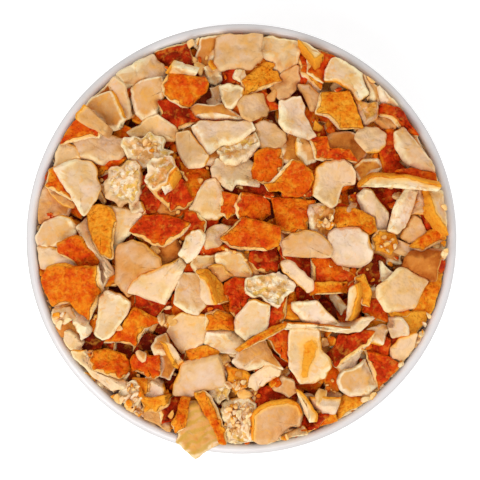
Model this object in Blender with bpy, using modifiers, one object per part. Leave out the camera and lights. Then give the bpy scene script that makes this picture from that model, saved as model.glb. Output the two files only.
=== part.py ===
"""A round bowl heaped with cut, dried orange peel.

Two solids: the glazed bowl, which is a turned shell on a foot ring, and the heap, which fills the bowl and
rises above its rim. The heap is one body. Its outside is a dome with flat chips of peel lying on it, and
the chips are joined to it. Units are metres, +Z is up, and the origin is under the middle of the foot.
"""

import math
import random

import bmesh
import bpy
from mathutils import Vector

MM = 0.001

# The bowl.
RIM_RADIUS = 55.0 * MM
BOWL_HEIGHT = 44.0 * MM
WALL = 2.6 * MM
FLOOR_RADIUS = 20.0 * MM
FLOOR_THICKNESS = 3.6 * MM
FOOT_RADIUS = 29.0 * MM
FOOT_WIDTH = 3.5 * MM
FOOT_EDGE = 0.6 * MM
FOOT_RECESS = 1.8 * MM
FOOT_STEP = 2.5 * MM  # the foot ring stands this far out of the bowl's underside
TURNING_STEPS = 72
WALL_POINTS = 8  # along the curve of each wall
WALL_TURN = math.radians(50.0)  # how far each wall's curve turns up from level
LIP_POINTS = 6

# The heap.
GAP = 0.3 * MM
EDGE_BELOW_RIM = 2.6 * MM  # where the heap meets the wall
CROWN = 12.5 * MM  # how far the middle of the heap rises above its edge
DOME_POWER = 2.2
DOME_POINTS = 6

# The chips of peel on the heap.
CHIP_COUNT = 120
CHIP_LENGTH = (10.0 * MM, 14.0 * MM)
CHIP_WIDTH = (7.0 * MM, 10.0 * MM)
CHIP_CORNERS = (4, 4, 5)
CHIP_TILT = math.tan(math.radians(20.0))
CHIP_RISE = (0.0 * MM, 2.6 * MM)  # the middle of a chip stands this far above the dome
CHIP_DEPTH = 3.5 * MM  # each chip goes down into the dome at least this far
CHIP_REACH = 49.4 * MM  # no corner goes past this, which is clear of the wall
GOLDEN_ANGLE = math.radians(137.508)
SEED = 11

# The one chip that lies out across the rim.
RIM_CHIP_LENGTH = 15.5 * MM
RIM_CHIP_WIDTH = 9.5 * MM
RIM_CHIP_THICKNESS = 2.4 * MM
RIM_CHIP_TIP_RADIUS = 56.6 * MM
RIM_CHIP_BEARING = math.radians(-101.5)


def new_collection(name):
    made = bpy.data.collections.new(name)
    bpy.context.scene.collection.children.link(made)
    return made


def plain_material(name, colour, roughness):
    material = bpy.data.materials.new(name)
    material.use_nodes = True
    shader = material.node_tree.nodes["Principled BSDF"]
    shader.inputs["Base Color"].default_value = (*colour, 1.0)
    shader.inputs["Roughness"].default_value = roughness
    shader.inputs["Metallic"].default_value = 0.0
    return material


def wall_curve(start_radius, end_radius, low, high):
    """Points (radius, z) along part of an oval, which leaves the floor level and still opens at the rim."""
    points = []
    for step in range(WALL_POINTS + 1):
        turn = WALL_TURN * step / WALL_POINTS
        out = math.sin(turn) / math.sin(WALL_TURN)
        up = (1.0 - math.cos(turn)) / (1.0 - math.cos(WALL_TURN))
        points.append((start_radius + (end_radius - start_radius) * out, low + (high - low) * up))
    return points


def inner_wall():
    floor = FLOOR_THICKNESS + FOOT_RECESS
    return wall_curve(FLOOR_RADIUS, RIM_RADIUS - WALL, floor, BOWL_HEIGHT - WALL / 2.0)


def bowl_profile():
    """The wall's section from the middle of the floor, up and round the lip, down the outer side and under
    the foot to the middle of the underside."""
    lip = WALL / 2.0
    outer_wall = wall_curve(FOOT_RADIUS, RIM_RADIUS, FOOT_STEP, BOWL_HEIGHT - lip)
    round_lip = []
    for step in range(1, LIP_POINTS):
        turn = math.pi * (1.0 - step / LIP_POINTS)
        round_lip.append(
            (RIM_RADIUS - lip + lip * math.cos(turn), BOWL_HEIGHT - lip + lip * math.sin(turn))
        )
    foot = [
        (FOOT_RADIUS - FOOT_EDGE, 0.0),
        (FOOT_RADIUS - FOOT_WIDTH, 0.0),
        (FOOT_RADIUS - FOOT_WIDTH - FOOT_EDGE, FOOT_RECESS),
        (0.0, FOOT_RECESS),
    ]
    middle = (0.0, FLOOR_THICKNESS + FOOT_RECESS)
    return [middle, *inner_wall(), *round_lip, *outer_wall[::-1], *foot]


def dome_height(radius):
    """The dome's height above the table, at a distance from the middle."""
    edge = BOWL_HEIGHT - EDGE_BELOW_RIM
    return edge + CROWN * (1.0 - min(1.0, radius / (RIM_RADIUS - WALL)) ** DOME_POWER)


def heap_profile():
    """The plain heap's section: a dome over the bowl's inside, a gap clear of the wall."""
    edge = BOWL_HEIGHT - EDGE_BELOW_RIM
    wall = inner_wall()
    side = [(radius - GAP, z + GAP) for radius, z in wall if z + GAP < edge]
    (low_radius, low), (high_radius, high) = wall[len(side) - 1], wall[len(side)]
    share = (edge - GAP - low) / (high - low)
    side.append((low_radius + share * (high_radius - low_radius) - GAP, edge))
    dome = []
    for step in range(DOME_POINTS + 1):
        radius = side[-1][0] * step / DOME_POINTS
        dome.append((radius, dome_height(radius)))
    return [*dome, *side[::-1], (0.0, side[0][1])]


def turned(name, profile, collection, material):
    """A closed solid of revolution about Z from (radius, z) points that start and end on the axis."""
    mesh = bpy.data.meshes.new(name)
    edges = [(i, i + 1) for i in range(len(profile) - 1)]
    mesh.from_pydata([(radius, 0.0, z) for radius, z in profile], edges, [])
    obj = bpy.data.objects.new(name, mesh)
    collection.objects.link(obj)
    screw = obj.modifiers.new("Turn", "SCREW")
    screw.steps = TURNING_STEPS
    screw.render_steps = TURNING_STEPS
    screw.use_merge_vertices = True
    screw.merge_threshold = 0.00001
    screw.use_smooth_shade = True
    obj.data.materials.append(material)
    return obj


def chip_outline(x, y, rng):
    """The corners of one cut chip in plan, on a turned oval, each pushed in or out as a ragged cut leaves it,
    and none past the reach of the heap."""
    length = rng.uniform(*CHIP_LENGTH)
    width = rng.uniform(*CHIP_WIDTH)
    corners = rng.choice(CHIP_CORNERS)
    start = rng.uniform(0.0, 2.0 * math.pi)
    heading = rng.uniform(0.0, math.pi)
    points = []
    for corner in range(corners):
        turn = start + 2.0 * math.pi * (corner + rng.uniform(-0.2, 0.2)) / corners
        along = length / 2.0 * math.cos(turn) * rng.uniform(0.9, 1.15)
        across = width / 2.0 * math.sin(turn) * rng.uniform(0.9, 1.15)
        point = Vector((
            x + along * math.cos(heading) - across * math.sin(heading),
            y + along * math.sin(heading) + across * math.cos(heading),
        ))
        points.append(point * min(1.0, CHIP_REACH / point.length))
    return points


def chip_solid(x, y, rng):
    """A chip whose tilted top lies on the dome. Its sides go straight down into the dome, so that no pocket
    is shut in beneath it."""
    radius = math.hypot(x, y)
    slope = (dome_height(radius + MM) - dome_height(radius - MM)) / (2.0 * MM)
    lean_x = slope * x / max(radius, MM) + rng.uniform(-CHIP_TILT, CHIP_TILT)
    lean_y = slope * y / max(radius, MM) + rng.uniform(-CHIP_TILT, CHIP_TILT)
    middle = dome_height(radius) + rng.uniform(*CHIP_RISE)
    outline = chip_outline(x, y, rng)
    tops = [middle + lean_x * (point.x - x) + lean_y * (point.y - y) for point in outline]
    under = min(tops) - CHIP_DEPTH
    solid = bmesh.new()
    low = [solid.verts.new((point.x, point.y, under)) for point in outline]
    high = [solid.verts.new((point.x, point.y, top)) for point, top in zip(outline, tops)]
    solid.faces.new(low[::-1])
    solid.faces.new(high)
    for i in range(len(outline)):
        j = (i + 1) % len(outline)
        solid.faces.new((low[i], low[j], high[j], high[i]))
    return solid


def rim_chip_solid():
    """A slab that lies level from the heap's side out over the rim, a gap above it, with a pointed end."""
    half = RIM_CHIP_WIDTH / 2.0
    inner = RIM_CHIP_TIP_RADIUS - RIM_CHIP_LENGTH
    plan = [
        (inner, -0.35 * half),
        (inner + 0.55 * RIM_CHIP_LENGTH, -half),
        (inner + 0.85 * RIM_CHIP_LENGTH, -0.75 * half),
        (RIM_CHIP_TIP_RADIUS, 0.1 * half),
        (inner + 0.72 * RIM_CHIP_LENGTH, half),
        (inner, 0.55 * half),
    ]
    along = Vector((math.cos(RIM_CHIP_BEARING), math.sin(RIM_CHIP_BEARING), 0.0))
    across = Vector((-along.y, along.x, 0.0))
    under = Vector((0.0, 0.0, BOWL_HEIGHT + GAP))
    thick = Vector((0.0, 0.0, RIM_CHIP_THICKNESS))
    solid = bmesh.new()
    low = [solid.verts.new(along * out + across * side + under) for out, side in plan]
    face = solid.faces.new(low)
    drawn = bmesh.ops.extrude_face_region(solid, geom=[face])
    high = [item for item in drawn["geom"] if isinstance(item, bmesh.types.BMVert)]
    bmesh.ops.translate(solid, vec=thick, verts=high)
    bmesh.ops.recalc_face_normals(solid, faces=solid.faces)
    return solid


def keep_as_helper(solid, name, collection):
    data = bpy.data.meshes.new(name)
    solid.to_mesh(data)
    solid.free()
    helper = bpy.data.objects.new(name, data)
    helper.hide_render = True
    helper.display_type = "WIRE"
    collection.objects.link(helper)


def make_chips(collection, rng):
    """Every chip as a helper object of its own, on a sunflower spiral over the dome."""
    for index in range(CHIP_COUNT):
        radius = CHIP_REACH * math.sqrt((index + 0.5) / CHIP_COUNT)
        turn = index * GOLDEN_ANGLE
        solid = chip_solid(radius * math.cos(turn), radius * math.sin(turn), rng)
        keep_as_helper(solid, f"chip_{index}", collection)
    keep_as_helper(rim_chip_solid(), "rim_chip", collection)


def main():
    for obj in list(bpy.data.objects):
        bpy.data.objects.remove(obj)
    parts = new_collection("bowl_of_orange_peel")
    chips = new_collection("chips")
    turned("bowl", bowl_profile(), parts, plain_material("white_glaze", (0.84, 0.83, 0.81), 0.18))
    heap = turned("peel_heap", heap_profile(), parts, plain_material("dried_peel", (0.72, 0.36, 0.12), 0.75))
    make_chips(chips, random.Random(SEED))
    join = heap.modifiers.new("Chips", "BOOLEAN")
    join.operation = "UNION"
    join.operand_type = "COLLECTION"
    join.collection = chips


main()
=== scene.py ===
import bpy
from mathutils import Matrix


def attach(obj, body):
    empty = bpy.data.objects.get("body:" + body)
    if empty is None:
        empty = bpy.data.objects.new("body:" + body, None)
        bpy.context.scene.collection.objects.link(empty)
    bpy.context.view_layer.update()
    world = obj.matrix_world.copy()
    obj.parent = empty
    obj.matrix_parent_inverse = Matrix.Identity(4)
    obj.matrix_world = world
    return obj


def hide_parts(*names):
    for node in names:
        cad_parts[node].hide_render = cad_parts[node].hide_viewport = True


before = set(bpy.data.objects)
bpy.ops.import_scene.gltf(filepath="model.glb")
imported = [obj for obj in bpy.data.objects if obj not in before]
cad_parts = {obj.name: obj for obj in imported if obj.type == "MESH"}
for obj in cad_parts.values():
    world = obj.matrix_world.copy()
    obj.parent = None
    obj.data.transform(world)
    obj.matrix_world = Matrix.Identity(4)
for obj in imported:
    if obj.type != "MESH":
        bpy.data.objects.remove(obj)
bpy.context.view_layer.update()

import math

import bpy
import numpy as np
from mathutils import Vector

scene = bpy.context.scene
scene.view_settings.view_transform = "Standard"
mm = 0.001
rng = np.random.default_rng(7)  # every draw comes from here, so the order in which things are laid matters


class Wire:
    # A node's output. Each operator adds one Math node to the same material.
    def __init__(self, net, socket):
        self.net = net
        self.socket = socket

    def maths(self, operation, first, second):
        return self.net.make("ShaderNodeMath", {0: first, 1: second}, operation=operation)

    def __add__(self, other):
        return self.maths("ADD", self, other)

    def __mul__(self, other):
        return self.maths("MULTIPLY", self, other)

    def __sub__(self, other):
        return self.maths("SUBTRACT", self, other)

    def __rsub__(self, other):
        return self.maths("SUBTRACT", other, self)

    __radd__ = __add__
    __rmul__ = __mul__

    def rise(self, low, high):
        # 0 below low, 1 above high, and a smooth step between them.
        sockets = {"Value": self, "From Min": low, "From Max": high}
        return self.net.make("ShaderNodeMapRange", sockets, interpolation_type="SMOOTHSTEP")


class Net:
    # One material and its nodes.
    def __init__(self, name):
        self.material = bpy.data.materials.new(name)
        self.material.use_nodes = True
        self.tree = self.material.node_tree
        self.shader = self.tree.nodes["Principled BSDF"]

    def make(self, kind, sockets=None, output=0, **settings):
        # Adds a node: its settings first, then its sockets, each a plain value or a wire.
        node = self.tree.nodes.new(kind)
        for key, value in settings.items():
            setattr(node, key, value)
        for key, value in (sockets or {}).items():
            self.join(value, node.inputs[key])
        return Wire(self, node.outputs[output])

    def join(self, value, socket):
        if isinstance(value, Wire):
            self.tree.links.new(value.socket, socket)
        else:
            socket.default_value = value

    def finish(self, **sockets):
        for key, value in sockets.items():
            self.join(value, self.shader.inputs[key.replace("_", " ")])
        return self.material

    def attribute(self, name, output=2):
        return self.make("ShaderNodeAttribute", output=output, attribute_name=name)

    def noise(self, place, scale, detail=2.0, roughness=0.5, distortion=0.0):
        sockets = {"Vector": place, "Scale": scale, "Detail": detail}
        sockets.update({"Roughness": roughness, "Distortion": distortion})
        return self.make("ShaderNodeTexNoise", sockets)

    def cells(self, place, scale):
        return self.make("ShaderNodeTexVoronoi", {"Vector": place, "Scale": scale})

    def vector(self, operation, first, second, output=0):
        sockets = {0: first, 1: second}
        return self.make("ShaderNodeVectorMath", sockets, output, operation=operation)

    def mix(self, factor, first, second, blend="MIX"):
        sockets = {0: factor, 6: first, 7: second}
        return self.make("ShaderNodeMix", sockets, 2, data_type="RGBA", blend_type=blend)

    def ramp(self, at, stops):
        # Colours at rising positions, each mixed evenly into the next.
        colour = stops[0][1]
        for (low, _), (high, following) in zip(stops, stops[1:]):
            step = self.make("ShaderNodeMapRange", {"Value": at, "From Min": low, "From Max": high})
            colour = self.mix(step, colour, following)
        return colour

    def bump(self, height, distance, strength=1.0):
        sockets = {"Height": height, "Distance": distance, "Strength": strength}
        return self.make("ShaderNodeBump", sockets)


def paint(red, green, blue):
    # A colour as a paint chart states it, 0 to 255, turned into linear light.
    share = np.array([red, green, blue]) / 255.0
    linear = np.where(share <= 0.04045, share / 12.92, ((share + 0.055) / 1.055) ** 2.4)
    return (*[float(value) for value in linear], 1.0)


def addPiece(name, points, faces, material, body="root"):
    # A smooth mesh at the origin from points in millimetres, riding on its body.
    mesh = bpy.data.meshes.new(name)
    mesh.from_pydata((points * mm).tolist(), [], faces)
    mesh.polygons.foreach_set("use_smooth", np.ones(len(mesh.polygons), bool))
    mesh.materials.append(material)
    mesh.update()
    piece = bpy.data.objects.new(name, mesh)
    scene.collection.objects.link(piece)
    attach(piece, body)
    print(f"{name}: {len(mesh.polygons)} faces", flush=True)
    return piece


def ringFaces(rows, columns):
    # Quads between neighbouring rings of points, and a fan to the single point before the first ring
    # and after the last.
    ring = np.arange(columns)
    after = (ring + 1) % columns
    start = 1 + columns * np.arange(rows - 1)[:, None]
    corners = [start + ring, start + columns + ring, start + columns + after, start + after]
    quads = np.stack(corners, axis=2).reshape(-1, 4)
    last = 1 + columns * (rows - 1)
    first = np.stack([np.zeros(columns, int), 1 + ring, 1 + after], axis=1)
    end = np.stack([np.full(columns, last + columns), last + after, last + ring], axis=1)
    return first.tolist() + quads.tolist() + end.tolist()


def turnProfile(profile, columns):
    # Rings of points round Z from (radius, height) pairs; the first and last pair lie on the axis. The faces
    # point out where the profile starts along a side that faces up.
    turn = 2 * np.pi * np.arange(columns) / columns
    radius = profile[1:-1, 0:1]
    height = profile[1:-1, 1:2] + 0 * turn
    rings = np.stack([radius * np.cos(turn), radius * np.sin(turn), height], axis=2).reshape(-1, 3)
    return np.vstack([[[0.0, 0.0, profile[0, 1]]], rings, [[0.0, 0.0, profile[-1, 1]]]])


def wallCurve(startRadius, endRadius, low, high, steps, end=math.radians(50)):
    # Part of an oval, from level up to the end turn: radius grows with the sine of the turn, height with
    # one less its cosine.
    turn = np.linspace(0.0, end, steps)
    radius = startRadius + (endRadius - startRadius) * np.sin(turn) / math.sin(end)
    return np.stack([radius, low + (high - low) * (1 - np.cos(turn)) / (1 - math.cos(end))], axis=1)


def halfRound(middle, height, radius, steps):
    # Half a circle over its middle, from the inner side to the outer one.
    turn = np.radians(np.linspace(180, 0, steps))
    return np.stack([middle + radius * np.cos(turn), height + radius * np.sin(turn)], axis=1)


bowlLook = {
    "columns": 192,
    "steps": 30,
    "floor": 5.4,  # height of the inside's floor
    "floorRadius": 20.0,
    "innerRadius": 52.4,
    "rim": 42.7,  # height of the middle of the lip's half round
    "lipMiddle": 53.7,
    "lipRadius": 1.3,
    "outerRadius": 55.0,
    "footRadius": 29.0,
    "footTop": 2.5,
    "base": 1.8,  # height of the underside inside the foot ring
    "glaze": paint(228, 224, 224),
    "glazeShade": paint(220, 215, 214),
    "glazeOuterGrey": paint(186, 180, 178),
    "clay": paint(214, 203, 188),
    "roughness": 0.22,
}


def innerWall(look):
    # The bowl's inside, from the edge of its flat floor to the lip.
    return wallCurve(look["floorRadius"], look["innerRadius"], look["floor"], look["rim"], look["steps"])


def bowlProfile(look):
    # The section from the middle of the floor up the inside, round the lip, down the outside, under the
    # foot ring's rounded edges and along the underside.
    floor, base = look["floor"], look["base"]
    lip = halfRound(look["lipMiddle"], look["rim"], look["lipRadius"], 15)[1:-1]
    outside = wallCurve(look["footRadius"], look["outerRadius"], look["footTop"], look["rim"], look["steps"])
    foot = [[28.9, 1.2], [28.7, 0.4], [28.2, 0.0], [27.0, 0.0], [26.0, 0.0], [25.4, 0.3], [25.1, 1.0]]
    under = [[24.6, 1.7], [23.5, base], [12, base], [0, base]]
    return np.vstack([[[0, floor], [10, floor]], innerWall(look), lip, outside[::-1], foot, under])


def glazeMaterial(look):
    # White glaze that drifts a little in tone, turns greyer over the outer lip, and leaves the foot ring's
    # underside bare.
    net = Net("white_glaze")
    place = net.make("ShaderNodeTexCoord", output=3)
    height = net.make("ShaderNodeSeparateXYZ", {0: place}, 2) * 1000.0
    drift = net.noise(place, 25.0, 3.0)
    pins = net.noise(place, 900.0, 1.0)
    bare = 1.0 - (height + drift * 0.6).rise(0.9, 1.3)
    out = net.vector("MULTIPLY", place, (1.0, 1.0, 0.0))
    radius = net.make("ShaderNodeVectorMath", {0: out}, 1, operation="LENGTH") * 1000.0
    # A greyer band over the outside of the lip, from its outer edge down.
    outerGrey = (radius + drift * 0.3).rise(54.6, 55.0) * height.rise(40.5, 42.0)
    glaze = net.mix(drift.rise(0.35, 0.7), look["glaze"], look["glazeShade"])
    glaze = net.mix(outerGrey * 0.8, glaze, look["glazeOuterGrey"])
    relief = drift * 0.6 + pins * 0.05 + bare * net.noise(place, 2500.0, 2.0) * 0.3
    return net.finish(
        Base_Color=net.mix(bare, glaze, look["clay"]),
        Roughness=look["roughness"] + drift * 0.06 + bare * 0.5,
        Coat_Weight=0.35 - bare * 0.35,
        Coat_Roughness=0.08,
        Normal=net.bump(relief, 0.2 * mm, 0.5),
    )


profile = bowlProfile(bowlLook)
bowl = addPiece(
    "bowlGlazed",
    turnProfile(profile, bowlLook["columns"]),
    ringFaces(len(profile) - 2, bowlLook["columns"]),
    glazeMaterial(bowlLook),
)
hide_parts("bowl")

heapLook = {
    "edge": 41.4,  # height of the heap at the wall
    "crown": 12.5,  # how far its middle stands above that
    "reach": 52.1,
    "steepness": 2.2,
    "below": 8.65,  # how far under that the first chips lie in the middle
    "rise": 8.15,  # how much less that is at the wall
    "chipWall": 52.45,  # how far out the corners of a chip may lie
    "bitWall": 52.5,
    "highest": 58.7,  # a chip that would stand above this is sunk into the pile
    "gap": 0.1,  # kept between a chip and the one over it
}
cell = 0.5  # the sides of the grid's squares
ruler = np.arange(-58.0, 58.01, cell)
gridX, gridY = np.meshgrid(ruler, ruler, indexing="ij")
farAway = 99.0


def domeHeight(radius, below=0.0):
    # Flat at the crown and steeper toward the wall: the crown less a power of the share of the way out.
    share = np.minimum(1.0, radius / heapLook["reach"])
    return heapLook["edge"] + heapLook["crown"] * (1 - share ** heapLook["steepness"]) - below


# The height of what lies at each grid point so far: at first a lower dome, which nears the full one at the
# wall, and then the chips.
outShare = np.minimum(1.0, np.hypot(gridX, gridY) / 52.0)
heights = domeHeight(np.hypot(gridX, gridY), heapLook["below"] - heapLook["rise"] * outShare**8)
covered = np.zeros(heights.shape, bool)  # where a chip of the upper two levels lies


def areaOf(path):
    # Half the sum of the cross products of neighbouring corners, above 0 where they run anticlockwise.
    after = np.roll(path, -1, axis=0)
    return 0.5 * float(np.sum(path[:, 0] * after[:, 1] - after[:, 0] * path[:, 1]))


def centreOf(path):
    # The middles of the triangles between the origin and each side, weighted by their areas.
    after = np.roll(path, -1, axis=0)
    cross = path[:, 0] * after[:, 1] - after[:, 0] * path[:, 1]
    return ((path + after) * cross[:, None]).sum(axis=0) / (3 * cross.sum())


def outward(path):
    # Square to the line between each point's neighbours.
    along = np.roll(path, -1, axis=0) - np.roll(path, 1, axis=0)
    along /= np.maximum(np.hypot(*along.T), 1e-6)[:, None]
    return np.stack([along[:, 1], -along[:, 0]], axis=1)


def distanceTo(points, path):
    # From each point to the nearest point of the path.
    return np.hypot(points[:, None, 0] - path[:, 0], points[:, None, 1] - path[:, 1]).min(axis=1)


def straightened(corners, within):
    # Drops, nearest first, each corner that stands less than this far from the line between its neighbours.
    while len(corners) > 4:
        before, after = np.roll(corners, 1, axis=0), np.roll(corners, -1, axis=0)
        side, arm = after - before, corners - before
        cross = np.abs(side[:, 0] * arm[:, 1] - side[:, 1] * arm[:, 0])
        away = cross / np.maximum(np.hypot(*side.T), 1e-6)
        if away.min() > within:
            break
        corners = np.delete(corners, int(away.argmin()), axis=0)
    return corners


def grown(corners, by):
    # Each side moves out by the distance; a corner moves along the line that halves it, at most twice as far.
    if areaOf(corners) < 0:
        corners = corners[::-1]
    ahead = np.roll(corners, -1, axis=0) - corners
    ahead /= np.maximum(np.hypot(*ahead.T), 1e-6)[:, None]
    out = np.stack([ahead[:, 1], -ahead[:, 0]], axis=1)
    half = out + np.roll(out, 1, axis=0)
    return corners + by * half / np.maximum((half**2).sum(axis=1) / 2, 0.5)[:, None]


def walkOutline(corners, steps, rounding):
    # The sides are walked in equal steps, then every point is averaged with its neighbours over the
    # rounding length.
    closed = np.vstack([corners, corners[:1]])
    run = np.concatenate([[0.0], np.cumsum(np.hypot(*np.diff(closed, axis=0).T))])
    at = np.linspace(0.0, run[-1], steps, endpoint=False)
    path = np.stack([np.interp(at, run, closed[:, axis]) for axis in (0, 1)], axis=1)
    wave = np.fft.rfftfreq(steps)
    blur = np.exp(-2.0 * (np.pi * wave * rounding * steps / run[-1]) ** 2)
    return np.fft.irfft(np.fft.rfft(path, axis=0) * blur[:, None], n=steps, axis=0)


def tornOutline(corners, columns, form, grow, walled):
    # The corners grown and, where the wall holds them, pulled inside it; then walked, and moved in and out
    # by a seeded wave for each kind of tear.
    corners = np.array(corners, float).reshape(-1, 2)
    corners = grown(straightened(corners, form["straight"]), grow)
    if walled:
        far = np.hypot(*corners.T)
        held = np.minimum(far + 0.3 * np.clip(far - 49.0, 0, 2), heapLook["chipWall"])
        corners = corners * (held / far)[:, None]
    path = walkOutline(corners, columns, form["rounding"])
    normal = outward(path)
    centre = centreOf(path)
    run = np.concatenate([[0.0], np.cumsum(np.hypot(*np.diff(path, axis=0).T))])
    for apart, deep in form["tears"]:
        knots = np.cumsum(rng.uniform(0.6, 1.4, max(3, int(run[-1] / apart))))
        notch = rng.normal(0.0, deep, len(knots))
        wave = np.interp(run / run[-1] * knots[-1], knots, notch, period=knots[-1])
        path = path + normal * wave[:, None]
    return path, normal, centre


def clearance(path, normal):
    # The radius of the largest circle inside the outline that touches it at each point.
    apart = path[None, :, :] - path[:, None, :]
    inward = -(apart * normal[:, None, :]).sum(axis=2)
    square = (apart**2).sum(axis=2)
    radius = np.where(inward > 1e-3, square / (2 * np.maximum(inward, 1e-3)), farAway).min(axis=1)
    return np.minimum(radius, np.minimum(np.roll(radius, 1), np.roll(radius, -1)))


def under(path):
    # The grid points inside the outline, by counting the sides that each one's ray to the right crosses.
    low = np.searchsorted(ruler, path.min(axis=0))
    high = np.searchsorted(ruler, path.max(axis=0))
    window = (slice(low[0], high[0]), slice(low[1], high[1]))
    x, y = gridX[window][..., None], gridY[window][..., None]
    x0, y0 = path.T
    x1, y1 = np.roll(path, -1, axis=0).T
    crossed = (y0 > y) != (y1 > y)
    rise = np.where(y1 == y0, 1e-9, y1 - y0)
    inside = (crossed & (x < x0 + (y - y0) * (x1 - x0) / rise)).sum(axis=2) % 2 == 1
    return window, inside


def bendOf(curl, ripple, lumps, fold, span):
    # Height over the chip's plane: a bowl or dome shape, a few seeded waves, and creases past which the
    # chip slopes.
    turn = rng.uniform(0, 2 * np.pi, 6)
    phase = rng.uniform(0, 2 * np.pi, 6)
    length = np.concatenate([rng.uniform(0.7, 1.3, 3) * span, rng.uniform(1.8, 3.6, 3)])
    size = [ripple] * 3 + [lumps] * 3
    across = rng.uniform(0, np.pi)
    foldTurn = rng.uniform(0, 2 * np.pi, 3)
    foldAt = rng.uniform(-0.3, 0.3, 3) * span
    foldRise = rng.uniform(-1, 1, 3) * fold

    def bend(x, y):
        along = x * np.cos(across) + y * np.sin(across)
        round = (x * x + y * y) / (span * span)
        total = curl * (0.5 * round + 1.6 * along * along / (span * span)) * 4 - curl
        for k in range(6):
            out = x * np.cos(turn[k]) + y * np.sin(turn[k])
            total = total + size[k] * np.sin(2 * np.pi * out / length[k] + phase[k])
        for k in range(3):
            past = x * np.cos(foldTurn[k]) + y * np.sin(foldTurn[k]) - foldAt[k]
            total = total + foldRise[k] * 0.5 * (past + np.sqrt(past * past + 0.1))
        return total

    return bend


def slopeOf(form, centre, x, y, lying):
    # The dome's slope at the chip, drawn toward the plane through what lies under it, then tilted by
    # chance, and no steeper than the form allows.
    radius = float(np.hypot(*centre))
    slope = (domeHeight(radius + 1) - domeHeight(radius - 1)) / 2
    gradient = slope * centre / max(radius, 1.0)
    if len(x) > 8:
        table = np.stack([x, y, np.ones(len(x))], axis=1)
        fit = np.linalg.lstsq(table, lying, rcond=None)[0][:2]
        gradient = gradient * (1 - form["follow"]) + fit * form["follow"]
    gradient = gradient + rng.uniform(-1, 1, 2) * form["tilt"] + form["toward"]
    steep = float(np.hypot(*gradient))
    return gradient * min(1.0, form["steepest"] / max(steep, 1e-6))


def layOn(path, centre, bend, thickness, form, settle, lie):
    # How a chip lies on what is there: a share of the points under it, settle, stays below its back, or lie
    # gives its height and slopes. The heights then rise to its top.
    window, inside = under(path)
    x, y = gridX[window][inside] - centre[0], gridY[window][inside] - centre[1]
    lying = heights[window][inside]
    gradient = slopeOf(form, centre, x, y, lying)
    if lie is not None:
        gradient = np.array(lie[1:])
    plane = gradient[0] * x + gradient[1] * y
    flex = bend(x, y)
    if lie is not None:
        seat = lie[0]
    elif len(x) > 0:
        seat = float(np.quantile(lying - plane - flex, settle))
    else:
        seat = domeHeight(float(np.hypot(*centre)), 2.0)
    tallest = seat + thickness + float(np.max(plane + flex, initial=0.0))
    seat -= max(0.0, tallest - heapLook["highest"])
    low = seat + plane + flex
    block = heights[window]
    block[inside] = np.maximum(block[inside], low + thickness)
    return gradient, seat, window, inside, low


def edgeRows(thickness, bevel, room, drop, topRows):
    # Rings from the middle of the top to the middle of the back, as (share of the way out, how far outside
    # the outline, depth, how far round from the top): the top, the rounded bevel, the edge and the back.
    drop = np.clip(0.25 + bevel * drop, 0.2, 0.6 * thickness)
    zero = 0 * bevel
    inner = -np.minimum(bevel + 0.3, room)
    tuck = -np.minimum(0.3, room)
    rows = [(share, inner, zero, zero) for share in np.linspace(0, 1, topRows + 1)[1:-1] ** 0.8]
    return rows + [
        (1.0, inner, zero, zero),
        (1.0, inner * 0.2 - bevel * 0.8, zero + 0.03, zero + 0.04),
        (1.0, -bevel * 0.8, 0.12 + drop * 0.12, zero + 0.4),
        (1.0, -bevel * 0.35, 0.12 + drop * 0.6, zero + 1.0),
        (1.0, zero, drop + 0.1, zero + 1.5),
        (1.0, zero - 0.05, zero + thickness - 0.25, zero + thickness),
        (1.0, tuck, zero + thickness, zero + thickness),
        (0.5, tuck, zero + thickness, zero + thickness),
    ]


def ringPoints(path, normal, centre, thickness, pithUp, form, topRows):
    # The rings round the chip's middle, as places in its plane, with the depth of each point, how far it is
    # from the outline, and how far from the zest. Bevel and rind are widest on the sides that face theirs.
    # The leans face the key light: there the bevels are widest, the distance from the outline is scaled down
    # so that the painted edge highlight and glow reach further in, and on zest chips the pale pith band is
    # widest, a painted highlight. On pith chips the zest shows most on the side away from the key light, as
    # painted shade.
    turn = np.arctan2(normal[:, 1], normal[:, 0])
    lean = np.cos(turn - math.radians(rng.normal(*form["leans"])))
    rindLean = np.cos(turn - math.radians(rng.normal(*form["rinds"])))
    bevel = np.clip(0.75 + form["lean"] * lean, 0.12, None) + 0.45 * np.clip(rindLean, 0, None) * pithUp
    nearWall = np.clip((52.8 - np.hypot(*path.T)) / 1.6, 0.25, 1.0)
    room = 0.75 * clearance(path, normal)
    bevel = np.minimum(bevel * rng.uniform(*form["bevel"]) * nearWall, form["widest"] * room)
    rows = edgeRows(thickness, bevel, room, form["drop"], topRows)
    if form["few"]:
        rows = [rows[k] for k in form["few"]]
    rimShare = np.clip(rindLean * 1.4 + form["rim"], 0, 1)
    wrap = np.clip(lean * 1.3 + 0.2, 0.08, 1.0)
    rings = []
    for share, outset, deep, tint in rows:
        flat = centre + (path + normal * outset[:, None] - centre) * share
        if pithUp:
            tint = thickness - np.minimum(tint, 1.5) * (thickness - 0.1) / 1.5 * rimShare
        else:
            tint = tint * wrap
        rings.append((flat, deep, distanceTo(flat, path) * (1.5 - 0.9 * lean), tint))
    middle = float(np.hypot(*(path - centre).T).min())
    first = ([centre], [0.0], [middle], [thickness if pithUp else 0.0])
    last = ([centre], [thickness], [middle], [0.0 if pithUp else thickness])
    return [np.concatenate(parts) for parts in zip(first, *rings, last)]


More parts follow.
